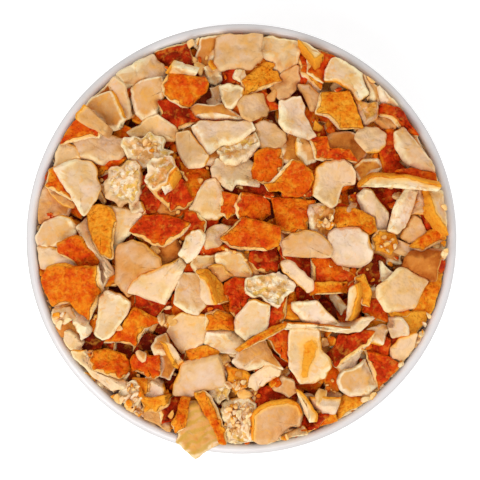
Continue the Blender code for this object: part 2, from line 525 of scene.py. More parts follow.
class Pile:
    # Collects the chips of one piece, then makes the piece.
    laid = []  # the chips of all piles, in the order laid

    def __init__(self, columns, topRows):
        self.columns = columns
        self.topRows = topRows
        self.parts = []
        self.faces = []
        self.values = {key: [] for key in ("place", "depth", "inset", "pithTone", "zestTone", "chance")}
        self.count = 0

    def add(
        self, corners, pithUp, pithTone, zestTone, form,
        grow=0.0, settle=0.9, lie=None, zestSide=None, zestLine=None, cover=False,
    ):
        # Lays one chip. Its points hang square to its slope, each ring at its own depth. Zest runs over the
        # lower side, or along the side or the line that is given.
        path, normal, centre = tornOutline(corners, self.columns, form, grow, lie is None)
        span = math.sqrt(abs(areaOf(path))) + 1.0
        thickness = rng.uniform(*form["thickness"])
        curl = (1.0 if pithUp else -1.0) * rng.uniform(*form["curl"])
        bend = bendOf(curl, form["ripple"] * rng.uniform(0.6, 1.3), form["lumps"], form["fold"], span)
        gradient, seat, window, inside, low = layOn(path, centre, bend, thickness, form, settle, lie)
        if cover:
            covered[window][inside] = True
        flat, deep, inset, fromZest = ringPoints(path, normal, centre, thickness, pithUp, form, self.topRows)
        if zestSide is not None:
            facing = np.arctan2(normal[:, 1], normal[:, 0]) - math.radians(zestSide)
            fromZest = distanceTo(flat, path[np.cos(facing) > 0.1])
        if zestLine is not None:
            start, end = np.array(zestLine, float).reshape(2, 2)
            along = np.clip((flat - start) @ (end - start) / ((end - start) @ (end - start)), 0, 1)
            apart = flat - start - along[:, None] * (end - start)
            fromZest = np.minimum(fromZest, (0.36 + 0.42 * along) * np.hypot(*apart.T))
        local = flat - centre
        lift = bend(local[:, 0], local[:, 1]) + local @ gradient + seat + thickness
        tip = np.array([-gradient[0], -gradient[1], 1.0])
        tip /= np.linalg.norm(tip)
        points = np.column_stack([flat, lift]) - deep[:, None] * tip
        place = np.column_stack([local, -deep]) + rng.uniform(-400, 400, 3)
        one = np.ones(len(points))
        tones = one * (pithTone / 9.0), one * (zestTone / 9.0), one * rng.uniform()
        for chips, values in zip(self.values.values(), (place, fromZest, inset, *tones)):
            chips.append(values)
        faces = ringFaces((len(points) - 2) // self.columns, self.columns)
        self.faces += [[corner + self.count for corner in face] for face in faces]
        self.parts.append(points)
        self.count += len(points)
        Pile.laid.append((points, deep, window, inside, low, thickness, form["few"] is None))
        return float(np.max(points[:, 2]))

    def piece(self, name, material):
        # Joins the chips into one mesh, with the values that its material reads at each point.
        made = addPiece(name, np.concatenate(self.parts), self.faces, material)
        for key, chips in self.values.items():
            kind, part = ("FLOAT_VECTOR", "vector") if key == "place" else ("FLOAT", "value")
            layer = made.data.attributes.new(key, kind, "POINT")
            layer.data.foreach_set(part, np.concatenate(chips).astype(np.float32).ravel())


def spread(block, steps):
    # A ceiling rises a millimetre for every grid square away from the chip above it.
    for _ in range(steps):
        wide = np.pad(block, 1, constant_values=farAway)
        beside = np.minimum.reduce([wide[2:, 1:-1], wide[:-2, 1:-1], wide[1:-1, 2:], wide[1:-1, :-2]])
        across = np.minimum.reduce([wide[2:, 2:], wide[:-2, :-2], wide[2:, :-2], wide[:-2, 2:]])
        block = np.minimum(block, np.minimum(beside + 1.0, across + 1.4))
    return block


def pressUnder():
    # From the last chip to the first, every point sinks until it clears the undersides of the larger chips
    # laid later.
    margin = 3
    ceiling = np.full(heights.shape, farAway)
    for points, deep, window, inside, low, thickness, presses in reversed(Pile.laid):
        at = np.clip((points[:, :2] - ruler[0]) / cell, 0, len(ruler) - 1.001)
        i, j = at.astype(int).T
        across, along = (at % 1).T
        near = ceiling[i, j] * (1 - along) + ceiling[i, j + 1] * along
        far = ceiling[i + 1, j] * (1 - along) + ceiling[i + 1, j + 1] * along
        above = near * (1 - across) + far * across
        points[:, 2] = np.minimum(points[:, 2], above - heapLook["gap"] - deep)
        if presses:
            block = np.full(inside.shape, farAway)
            block[inside] = np.minimum(low, ceiling[window][inside] - heapLook["gap"] - thickness)
            block = spread(np.pad(block, margin, constant_values=farAway), margin)
            wide = tuple(slice(max(0, side.start - margin), side.stop + margin) for side in window)
            skip = [bigger.start - side.start + margin for bigger, side in zip(wide, window)]
            block = block[skip[0]:, skip[1]:]
            lower = ceiling[wide]
            lower[:] = np.minimum(lower, block[: lower.shape[0], : lower.shape[1]])


pithColours = [
    (0.0, paint(250, 228, 194)),
    (0.22, paint(236, 199, 148)),
    (0.4, paint(225, 179, 119)),
    (0.6, paint(222, 162, 92)),
    (0.75, paint(216, 144, 72)),
    (0.89, paint(206, 126, 50)),
    (1.0, paint(178, 92, 28)),
]
zestColours = [
    (0.0, paint(244, 164, 46)),
    (0.15, paint(238, 144, 26)),
    (0.45, paint(225, 94, 3)),
    (0.7, paint(211, 58, 10)),
    (0.88, paint(174, 38, 2)),
    # The stops from 1.0 on, reached by tones of 9 and past, are painted shade for chips deep in the gaps.
    (1.0, paint(140, 30, 2)),
    (1.4, paint(74, 14, 3)),
]
plainLook = {
    "poresPerMm": 1.3,
    "pithPatches": 0.45,
    "white": paint(228, 204, 184),
    "whiteMiddle": 0.5,
    # strength of the painted edge highlight
    "litEdgePaint": 0.85,
    "stains": 0.5,
    # strength of the painted shade in the fibre relief's hollows
    "hollows": 0.08,
    "pits": 0.12,
    "pulp": 0.0,
    # strength of the painted glow at zest edges
    "edgeGlow": 0.25,
    "zestPatches": 0.7,
    "zestGrain": 0.7,
    "pores": 0.35,
    "ridges": 0.35,
    "rind": 0.5,  # thickness of the orange skin
    "relief": 0.36,
    "stripes": 0.0,
}
pulpyLook = {
    **plainLook,
    "white": paint(255, 240, 218),
    "pithPatches": 0.9,
    "hollows": 0.2,
    "pits": 0.2,
    "pulp": 0.9,
    "poresPerMm": 1.1,
    "relief": 0.42,
}
coarseLook = {
    **plainLook,
    "rind": 0.42,
    "zestPatches": 0.95,
    "zestGrain": 0.65,
    "ridges": 0.3,
    "relief": 0.75,
}
stripLook = {**plainLook, "rind": 0.6, "whiteMiddle": 0.4}
rimLook = {**plainLook, "stripes": 0.8, "whiteMiddle": 0.15, "litEdgePaint": 0.6, "rind": 0.9}
coolWhite, warmWhite = (0.99, 0.955, 0.98, 1.0), (1.0, 1.0, 0.89, 1.0)


def peelMaterial(name, look):
    # Pith away from the coloured side, zest within half a millimetre of it, and a golden band where they
    # meet. Each patch, stain and pore is a noise raised between two levels, then mixed over by its share.
    net = Net(name)
    place = net.attribute("place", 1)
    depth = net.attribute("depth")
    inset = net.attribute("inset")
    chance = net.attribute("chance")
    slow = net.noise(place, 0.13) - 0.5
    patch = net.noise(place, 0.34, distortion=0.3) - 0.5
    blot = net.noise(place, 0.62, distortion=0.5)
    fine = net.noise(place, 1.9) - 0.5
    fibre = net.noise(place, 0.95, 3.0, distortion=0.6)
    pores = net.cells(place, look["poresPerMm"])
    pore = 1.0 - pores.rise(0.05, 0.6)

    tone = net.attribute("pithTone") + patch * look["pithPatches"] + slow * 0.5 + fine * 0.08
    pith = net.ramp(tone, pithColours)
    white = net.noise(place, 0.3, 1.0).rise(0.3, 0.6) * inset.rise(0.3, 2.2) * (1.0 - tone.rise(0.3, 0.8))
    pith = net.mix(white * look["whiteMiddle"], pith, look["white"])
    # Painted highlight: a pale cream band along the chip's edges, widest on the side that faces the key
    # light.
    lit = (1.0 - (inset + patch * 1.6).rise(0.35, 1.7)) * (slow + chance - 0.5).rise(-0.45, 0.1)
    pith = net.mix(lit * look["litEdgePaint"], pith, paint(255, 241, 206))
    warm = (slow * 2.4 + patch + chance * 0.6).rise(0.0, 0.6)
    pith = net.mix(1.0, pith, net.mix(warm, coolWhite, warmWhite), "MULTIPLY")
    stain = (blot + (chance - 0.5) * 0.12).rise(0.55, 0.72) * look["stains"]
    pith = net.mix(stain, pith, paint(236, 166, 62))
    # Painted shade: ochre in the low parts of the fibre relief, the pith's hollows.
    hollowShade = (1.0 - fibre.rise(0.28, 0.46)) * look["hollows"]
    pith = net.mix(hollowShade, pith, paint(214, 140, 54))
    # Painted shade: a darker ochre in the pits, which the relief also sinks.
    pit = (1.0 - (pores + fine * 0.4).rise(0.15, 0.7)) * (patch + fine * 0.5).rise(-0.12, 0.2) * look["pits"]
    pith = net.mix(pit, pith, paint(208, 146, 62))

    sunk = 0.0
    if look["pulp"]:
        pulp = (inset + patch * 1.6).rise(0.5, 1.5) * look["pulp"]
        gold = net.noise(place, 0.42, 2.0, 0.55, 0.5)
        tan = net.noise(place, 0.33, 2.0, 0.55, 0.8)
        speck = net.noise(place, 0.8, distortion=0.3).rise(0.53, 0.62)
        ripe = tone.rise(0.4, 0.9)
        pale = (1.0 - blot.rise(0.4, 0.5)) * (0.8 - ripe * 0.5)
        pith = net.mix(pulp * gold.rise(0.46, 0.58), pith, paint(238, 192, 88))
        pith = net.mix(pulp * tan.rise(0.5, 0.62), pith, paint(240, 188, 122))
        pith = net.mix(pulp * ripe * 0.6, pith, paint(216, 130, 44))
        pith = net.mix(pulp * pale, pith, paint(255, 243, 214))
        pith = net.mix(pulp * speck * 0.75, pith, paint(210, 150, 66))
        sunk = pulp * (gold * 1.8 + speck * 0.25)

    base = net.attribute("zestTone")
    grain = (fibre - 0.5) * look["zestGrain"] * (1.3 - base.rise(0.2, 0.7))
    tone = base + patch * look["zestPatches"] + slow * 0.5 + grain
    # Painted light: the zest turns lighter near its edges, a glow as of light through the thin edge, widest
    # on the side toward the key light.
    glow = (1.0 - (inset + patch * 1.5).rise(0.0, 1.5)) * look["edgeGlow"]
    zest = net.ramp(tone - glow, zestColours)
    # Painted shade: the pores, sunk in the relief, take a darker step of the zest colours.
    zest = net.mix(pore * look["pores"], zest, net.ramp(tone + 0.3, zestColours))
    ridge = (blot + fine * 0.35).rise(0.5, 0.72)
    zest = net.mix(ridge * look["ridges"], zest, paint(246, 170, 56))

    edge = depth + patch * 0.7 + fine * 0.35
    band = 1.0 - edge.rise(0.6, 1.6)
    isZest = 1.0 - edge.rise(look["rind"] - 0.12, look["rind"] + 0.14)
    body = net.mix(band * 0.85, pith, paint(252, 190, 92))
    if look["stripes"]:
        along = net.vector("DOT_PRODUCT", place, (-1.3, 2.6, 0.0), 1)
        wave = net.make("ShaderNodeMath", {0: along + slow * 9.0 + patch * 9.0}, operation="SINE")
        body = net.mix(wave.rise(-1.0, 1.2) * look["stripes"], body, paint(202, 156, 62))
    pithRelief = fibre * 0.35 + patch * 2.4 + blot * 0.9 - pit * 0.4 - sunk
    zestRelief = 0.8 - pore * 0.22 + patch * 1.6 + fibre * 0.9
    relief = pithRelief * (1.0 - isZest) + zestRelief * isZest
    return net.finish(
        Base_Color=net.mix(isZest, body, zest),
        Roughness=0.88 - isZest * 0.25 + pore * isZest * 0.1,
        Specular_IOR_Level=0.06,
        Normal=net.bump(relief, look["relief"] * mm),
    )


flatForm = {
    "straight": 0.5,  # corners nearer than this to a straight side are dropped
    "rounding": 0.3,
    "tears": ((2.6, 0.15), (1.0, 0.08)),  # how far apart and how deep, for each kind
    "thickness": (1.2, 2.2),
    "curl": (-0.4, 0.4),
    "ripple": 0.19,
    "lumps": 0.06,
    "fold": 0.38,
    "follow": 0.45,  # how much the chip takes the slope of what lies under it
    "tilt": 0.24,
    "steepest": 0.55,
    "toward": 0.0,
    "bevel": (0.45, 1.1),
    "widest": 0.6,  # the widest bevel, as a share of the room
    "lean": 0.6,
    # leans point at the key light: the wide bevels and the painted edge highlights face it.
    "leans": (-120, 60),  # where the wide bevels face, in degrees, and their spread
    # rinds point away from the key light: the zest round the edge of pith chips is partly painted shade.
    "rinds": (60, 75),  # where the zest shows round the edge
    "drop": 0.8,
    "rim": -0.25,
    "few": None,  # the rings that a small chip keeps
}
zestForm = {
    **flatForm,
    "thickness": (1.1, 1.9),
    "curl": (-0.2, 0.5),
    "fold": 0.28,
    "rounding": 0.2,
    "bevel": (0.65, 1.4),
    "widest": 0.92,
}
pulpyForm = {
    **flatForm,
    "rounding": 0.18,
    "tears": ((2.2, 0.45), (1.0, 0.22)),
    "ripple": 0.35,
    "lumps": 0.22,
    "thickness": (1.6, 2.3),
}
stripForm = {
    **flatForm,
    "thickness": (3.5, 5.0),
    "ripple": 0.12,
    "fold": 0.1,
    "bevel": (0.1, 0.3),
    "tilt": 0.08,
}
fillForm = {
    **flatForm,
    "tilt": 0.35,
    "steepest": 0.6,
    "bevel": (0.1, 0.5),
    "few": (1, 3, 5, 8, 9),
    "rim": 0.0,
}
bitForm = {
    **fillForm,
    "straight": 0.1,
    "tears": ((1.5, 0.15),),
    "tilt": 0.45,
    "steepest": 0.7,
    "thickness": (0.8, 1.4),
}
crumbForm = {
    **fillForm,
    "straight": 0.1,
    "tears": ((1.0, 0.1),),
    "thickness": (0.6, 1.0),
    "few": (1, 3, 5, 7),
}
rimForm = {
    **flatForm,
    "thickness": (1.9, 1.9),
    "ripple": 0.2,
    "fold": 0.25,
    "bevel": (0.6, 0.6),
    "straight": 0.1,
    "rounding": 0.14,
}
paleLie = {"follow": 0.15, "tilt": 0.1, "toward": 0.12}  # for the palest chips, which face the key light

# Every chip that shows, one a line: its level, its tone, and its corners as x,y in millimetres from the
# middle of the bowl, x to the right and y to the back. Level 0 lies lowest. Tone runs from 0, the palest, to
# 9, the darkest; two chips in gaps go to 11.5. A tone is the chip's colour as it shows with its shade, so the
# dark tones of low-lying chips and of those past 9 are partly painted shade.
pithSeen = """
1 8.6 20.8,24.3 23,26.4 27.5,26.9 30.3,25.4 31.8,23 30.8,20.5 28.8,19.3 27.8,21.8 21.3,22.7
1 0 6.2,-51.9 15.4,-48.4 16,-49.6 9.8,-51.9
1 4 -30.9,41.6 -29.2,45.2 -26,47 -22.5,46.3 -20,44.4 -19.3,42.2 -21,40.8 -26,39.4 -29.5,39.6
1 5.2 -27.5,38 -25.5,39.6 -20.5,40.6 -19.8,37.5 -21.6,31.8 -24.5,30.3 -26.7,32
1 3 -32.9,38.4 -31.8,39.6 -30,38.6 -28.8,31 -30.5,30 -32.7,35.8
1 5.6 -39.8,33.2 -37.5,35.6 -33.3,36.6 -30.2,30.2 -31.5,28.4 -34.2,27.8
0 8 -38.3,36.6 -35.5,38.8 -32.8,39.2 -32.4,36.8 -37.8,35
1 4 -42.2,24.8 -38.6,26.6 -34.5,26.6 -30.6,25.2 -29.6,23 -31,21 -36,20.2 -41.3,21.4
1 4 -48.3,22.5 -45.4,24.6 -42.9,23.2 -41.5,20.5 -43,17.5 -47.2,17.8
2 3 -46.9,17.6 -42,20.5 -38,19.5 -36.8,17.8 -35.9,13.2 -36.4,10.5 -39.8,6 -41.2,7 -43,11 -45.8,14.6
2 3 -29.4,27.2 -26,28.6 -24,30.5 -21.3,31.2 -16.8,27.8 -15.5,25 -19,24.6 -24,25.6 -28,25.4
2 3 -12.5,28.5 -10.5,30 2.5,29.8 3.5,28 -0.5,25 -5,24 -8,22 -10.5,24
2 3 -16.5,26.8 -13.5,27.6 -8.3,21 -9.5,19 -13.5,18.5 -15.2,20.5 -16.5,24
0 7.5 -11.9,42.3 -9.5,50.5 -5.6,51.4 -9,41.5
2 4 -6.3,50.5 -5,51.3 5.3,51.5 4.8,47.8 5.5,46.3 2.5,43.5 -1.5,43.8 -5.5,43 -7,45
1 3 5.8,50.3 8,51.2 14.2,49.8 14.5,48 13.6,45 12,43 10,42.6 8.2,43.6 7.2,46 4.9,47.8
1 4 -8.7,43.3 -7.2,44 -5.8,43 -5.5,40.8 -6.3,39.6 -8,40.6
1 3 -0.9,42.2 0.5,42.2 0.9,41.3 0,40.6 -1.1,41.2
2 3 -5.8,38.8 -3.8,39.6 -0.9,39.2 0.5,38.2 0.2,36 -2.6,33.4 -4,33.8 -5.5,36
1 5 -7.6,38.2 -5.8,38.8 -6.2,34.4 -8,34 -8.4,35.2 -7.2,36.2
1 7.6 -13,33 -11,34 -7.5,33.3 -4.5,34 0.3,30.6 -12.5,30.9
2 4 -0.6,34.2 0.8,36.3 5.5,36.9 7.2,33 6.3,31.3 2.5,29.9 0.3,31
1 6 7,39.8 9.5,41.8 13.8,43.3 14.1,40.5 11.7,36.2 9.8,36.2
2 3 9.6,35 15,36.3 16.2,33.8 15.8,32 18.8,26.2 17,25.6 11.2,27.6 9.8,29.8
1 5 15.3,38.8 17,38.8 19.7,36.5 19.7,33.8 18,33.5
1 3.8 3.5,28.8 6,29.7 8.5,28.8 10.5,27 10.9,25.3 9.5,23.8 6.5,22.8 3.3,26.3
0 7.5 10.4,25.8 12.3,26.6 14,25 14.6,22.5 13.8,20.2 10.4,20.6 9.8,23
1 6 14.6,25.2 18.6,24.8 19.5,22 18.6,20 16.5,19.3 14.4,21.5
1 3 -7.3,18 -6,20 1,20.7 3,19 2.9,15.8 4,14.2 -1.5,14.5 -2.5,13 -6.6,15.8
2 3 22.8,45.5 24,46 26.3,45.3 30.5,41.9 32,37 30,35.5 27.5,38.3 24,40.5 21.2,40.5 21.2,43
0 4 18.3,48.3 21,47.2 22.5,46.4 20,46.6
1 5 31,41.2 34.5,38.5 36.6,33.3 34.8,32.8
1 5 34.8,38.4 36.5,36.8 40.2,32.8 36.5,34
1 6 34.2,30.8 39,30.8 39.5,29 38,27.3
2 3 29.8,27.8 31.5,28.5 34.5,28.3 36.8,26.5 36.7,24 34.8,22.3 31.8,22.1 28.8,25.7
2 4 38.6,27.2 41,28.3 48,19.6 48.6,16.8 42,19 39.2,23.4
0 8 43.8,26.3 47.4,20.6 46.5,20.3 43.5,24
2 3 19.2,18 21.5,19.7 26,20 28,18.8 28.9,16 28.6,13.9 25.5,13.5 24.2,8.8 22.9,7.9 18,10.9
1 8 29,17.5 31,19.5 34.3,19.8 35.8,18.2 33.5,15.8 30.5,14.6
1 2.5 30,10.8 31.5,12.3 32.8,12 37.2,6.3 36.6,2.3 34.6,2.3 33.6,5 31.5,7.2
2 1 42.4,12.7 45,12 41.8,2.5 39.8,1.3 37.4,1.9 39.9,9.8
1 3 45,12.3 47.4,12 48.6,7 43.8,6.9
1 4 44,5.2 45.5,4.5 46.8,2 44,-1.7 41.2,0.6
2 1 22.2,1.2 24,2.6 29.8,2.8 31.8,1 33.6,-3.8 32.8,-5.5 30.5,-7 27,-7.4 24,-6.4 22.5,-4.3
2 5 10,-0.5 12.5,1.2 16,2 19,1.5 22,-0.8 23,-3 22.5,-4.6 10.5,-4.2
1 4 38.6,0 43.9,-2.4 42.7,-4.1 38,-2.4
0 7 34,-3 37,-4.2 40,-4.2 40,-5.5 36.5,-6 34.2,-4.8
1 8.6 43.5,-3.5 46.5,-2.6 50,-3.2 48.5,-10 46.5,-10.3 41.5,-7 42,-5
2 3 34.3,-12.5 40.2,-7.6 41.5,-7.5 47.6,-10.8 44.2,-17.3 41,-18.2 36.5,-18.2 34.2,-14.5
1 2 35.9,-6.4 38.6,-9.4 36.2,-10.2
1 6 31.5,-13.5 34.3,-12.8 34.8,-14.5 32.5,-16.2 31.5,-16
2 1 13,-16.5 19,-16 25,-21.5 24.5,-23.5 20,-23.2 16.5,-22 13,-17.8
2 1 22.5,-22.2 27,-22 31,-20.2 33.6,-20 30,-23.4 27,-24 22.8,-23.4
2 0 10.5,-21.3 27.5,-22.5 23.5,-23.2 10.8,-22.6
1 0.5 24.6,-32.3 25.5,-30.8 29.8,-27.6 30.4,-28 28.5,-34 26,-34.5
1 5.5 32.3,-23.4 35.5,-22 37.2,-22.6 35.6,-26.2 32.2,-25.5
1 3.5 37.8,-20.5 40,-20.5 42,-22.5 42,-24.3 38.5,-24.5 37.6,-22.5
1 2 38.4,-28.2 40.5,-25.8 43.6,-24.8 43.4,-27.5 40.6,-31 38.8,-30.2
1 5 26,-34 29,-33.8 31.5,-31.5 33.8,-37 31.5,-39 28,-39.6 25.5,-38.3 25,-36
0 4 28.2,-40 33,-39.6 31.2,-41.4 30,-41.6
1 3 -17,-20.5 -15,-19.3 -8.6,-20.2 -8.9,-26 -15,-28.8 -18.3,-23.8
1 2 -8.5,-24 -2,-23.5 0.3,-25.5 0.3,-27.8 -2,-28.8 -5.5,-28.2 -9,-26.5
2 2 -1.5,-19.5 2,-16 3.5,-15.6 7,-16.8 6.8,-22 1,-25.8 -1.8,-23.5
1 6 2,-26 5.8,-26 10,-32.6 5.5,-31.6 2,-32.8 0,-32.5 -1.3,-30.7
2 0 2,-35.5 7,-32.3 9.8,-33.5 9.5,-34.8 3.8,-38.5 1.8,-37.6
2 3 -15,-32 -6,-29.8 -4,-37.5 -14,-40.5 -17.3,-39.8 -17.5,-37.5
0 8 -5.5,-31 -4,-31.6 -2.7,-33.5 -3,-36
0 7 -2.5,-38.6 0.5,-38 1.5,-39.5 0,-41.3 -2.5,-41
0 7 2,-39.5 3.5,-39 4.2,-40.5 3.5,-42 1.5,-42.3
1 5 9.5,-36 11,-35.5 13,-36.5 13.5,-38.5 12,-39.8 9,-38
2 2.2 -35.8,-14.8 -34,-13 -30.5,-14 -28.2,-16 -29,-19 -33.8,-25.2 -35.6,-25.6 -37.2,-24
2 2 -39.5,-28.5 -38.6,-31.8 -36.5,-34 -30,-36.5 -29.5,-38 -33,-38.5 -37.2,-35.5 -42.4,-29.5 -42.6,-28.3
1 2 -44.6,-25.5 -44.2,-24 -42.5,-24.5 -41,-26.3 -42,-28 -43.2,-27.6
0 8 -46.2,-22.5 -45.5,-21.6 -41.5,-23.6 -43,-24.6 -45,-24
1 0 -42.5,-18.5 -40.5,-19 -38.8,-23.5 -40.5,-25 -42.5,-21.5
1 1 -47.6,-19.6 -47.3,-18 -44,-18.2 -42.8,-19.8 -45,-21.2 -46.7,-21.2
1 0.8 -24.3,-39.2 -23,-37.3 -20.8,-37.5 -20.4,-39.4 -22,-40.7 -24,-40.4
0 8 -28,-42.8 -27.5,-42.4 -24,-44.7 -25.2,-44.9
0 5 -24,-44 -18.7,-44.8 -19,-47.4 -24,-45.5
1 8 -20.8,-29.5 -19,-28.6 -16.5,-30.5 -18.5,-35.5 -20.5,-35
1 6 -21.5,-25.5 -19.5,-24.5 -18.7,-26.5 -19.5,-29 -21.8,-29.3 -22.3,-27.5
1 6.5 -48.4,13.2 -42,10.2 -42.8,8.5 -45.2,9.1 -48.1,11.8
0 6.5 -50.1,12 -49,13.2 -44.5,8.5 -45,6.6 -50,5.2
1 4 -49.5,4 -46.2,5.2 -43.8,4.8 -42.2,2.5 -42.7,0.5 -48,-1.8 -51,-1.6 -51.6,0.5
1 2 -51.6,-2.5 -49,-2.6 -42.8,-5.3 -41.8,-6.5 -42.5,-8 -50.5,-7
1 2 -37.2,-8.5 -35.6,-8.5 -34.5,-9.8 -36.3,-13
1 3 -34,7.8 -27,7 -25.5,6 -33.2,-4
1 0.5 -41.5,2.8 -39.5,4.5 -36.5,-3.2 -32.8,-8.6 -34,-9.3 -39.6,-3
1 4 -28.2,9.5 -26,9 -25.5,7.6 -27.5,7.5
0 8 -22,8.2 -20.3,9 -17.3,7.4 -18.7,6 -21.8,6.2
1 5.4 -31.6,-3.8 -30.6,-1.7 -27.5,-1 -24.7,-1.9 -21,-5 -20.8,-7 -24.7,-9.4 -26,-12.5 -28.8,-14.2 -31.6,-10.8
2 2 -28.8,-13.8 -27.4,-11 -25,-9.2 -17.7,-6.5 -15.1,-4.7 -14.3,-6.8 -19.4,-16.8
0 8 -19.7,-1.5 -17,-1 -15,-4.8 -17,-4.4 -19.7,-5.8 -20.8,-4.2
0 7 -48.3,-16 -45.5,-15.3 -43.5,-16.5 -43.3,-17.8 -46.5,-17.4
1 3 -12.8,7.5 -9,14.2 -7,14.8 -4.4,10 -4.8,6.5 -6.5,5.2 -10,5.3
0 7 -8,15.3 -6,16.5 -4,12.6 -5.5,13
1 3 -9.5,0.7 -7.3,2.8 -5,3.5 -3.3,3 -5.8,-1 -8.5,-1.6
2 2 -14,0.5 -12.5,1.9 -10.9,2.2 -9.6,0.8 -9.9,-1.2 -12.2,-5.2 -13.8,-6.2 -15.6,-4
1 4 -12,-6.5 -11.5,-4.7 -6.5,-4.3 -6.2,-6.6 -11,-8.2
1 4 -6,-4.3 -3.5,-3.3 -0.5,-4 2,-8.5 1.8,-9.8 -1.5,-10 -6,-6.6
2 1 9.9,-6 11.5,-5.6 18,-11 18,-12.8 16.5,-13.7 10.2,-8.2
0 8 0.5,-3.7 2.8,-4 3.5,-8 2,-8.3
1 6 -8,-7.8 -5.5,-7.5 -3,-9.5 -5.5,-10.8 -8,-9.3
1 4 -15.6,-10 -14.3,-9 -11,-9.3 -10,-10.5 -9.6,-16.5 -11,-18.6 -14,-18 -16.6,-16
1 3 23.5,-13.6 26.2,-17.4 25.4,-18.6 22.8,-14.6
"""
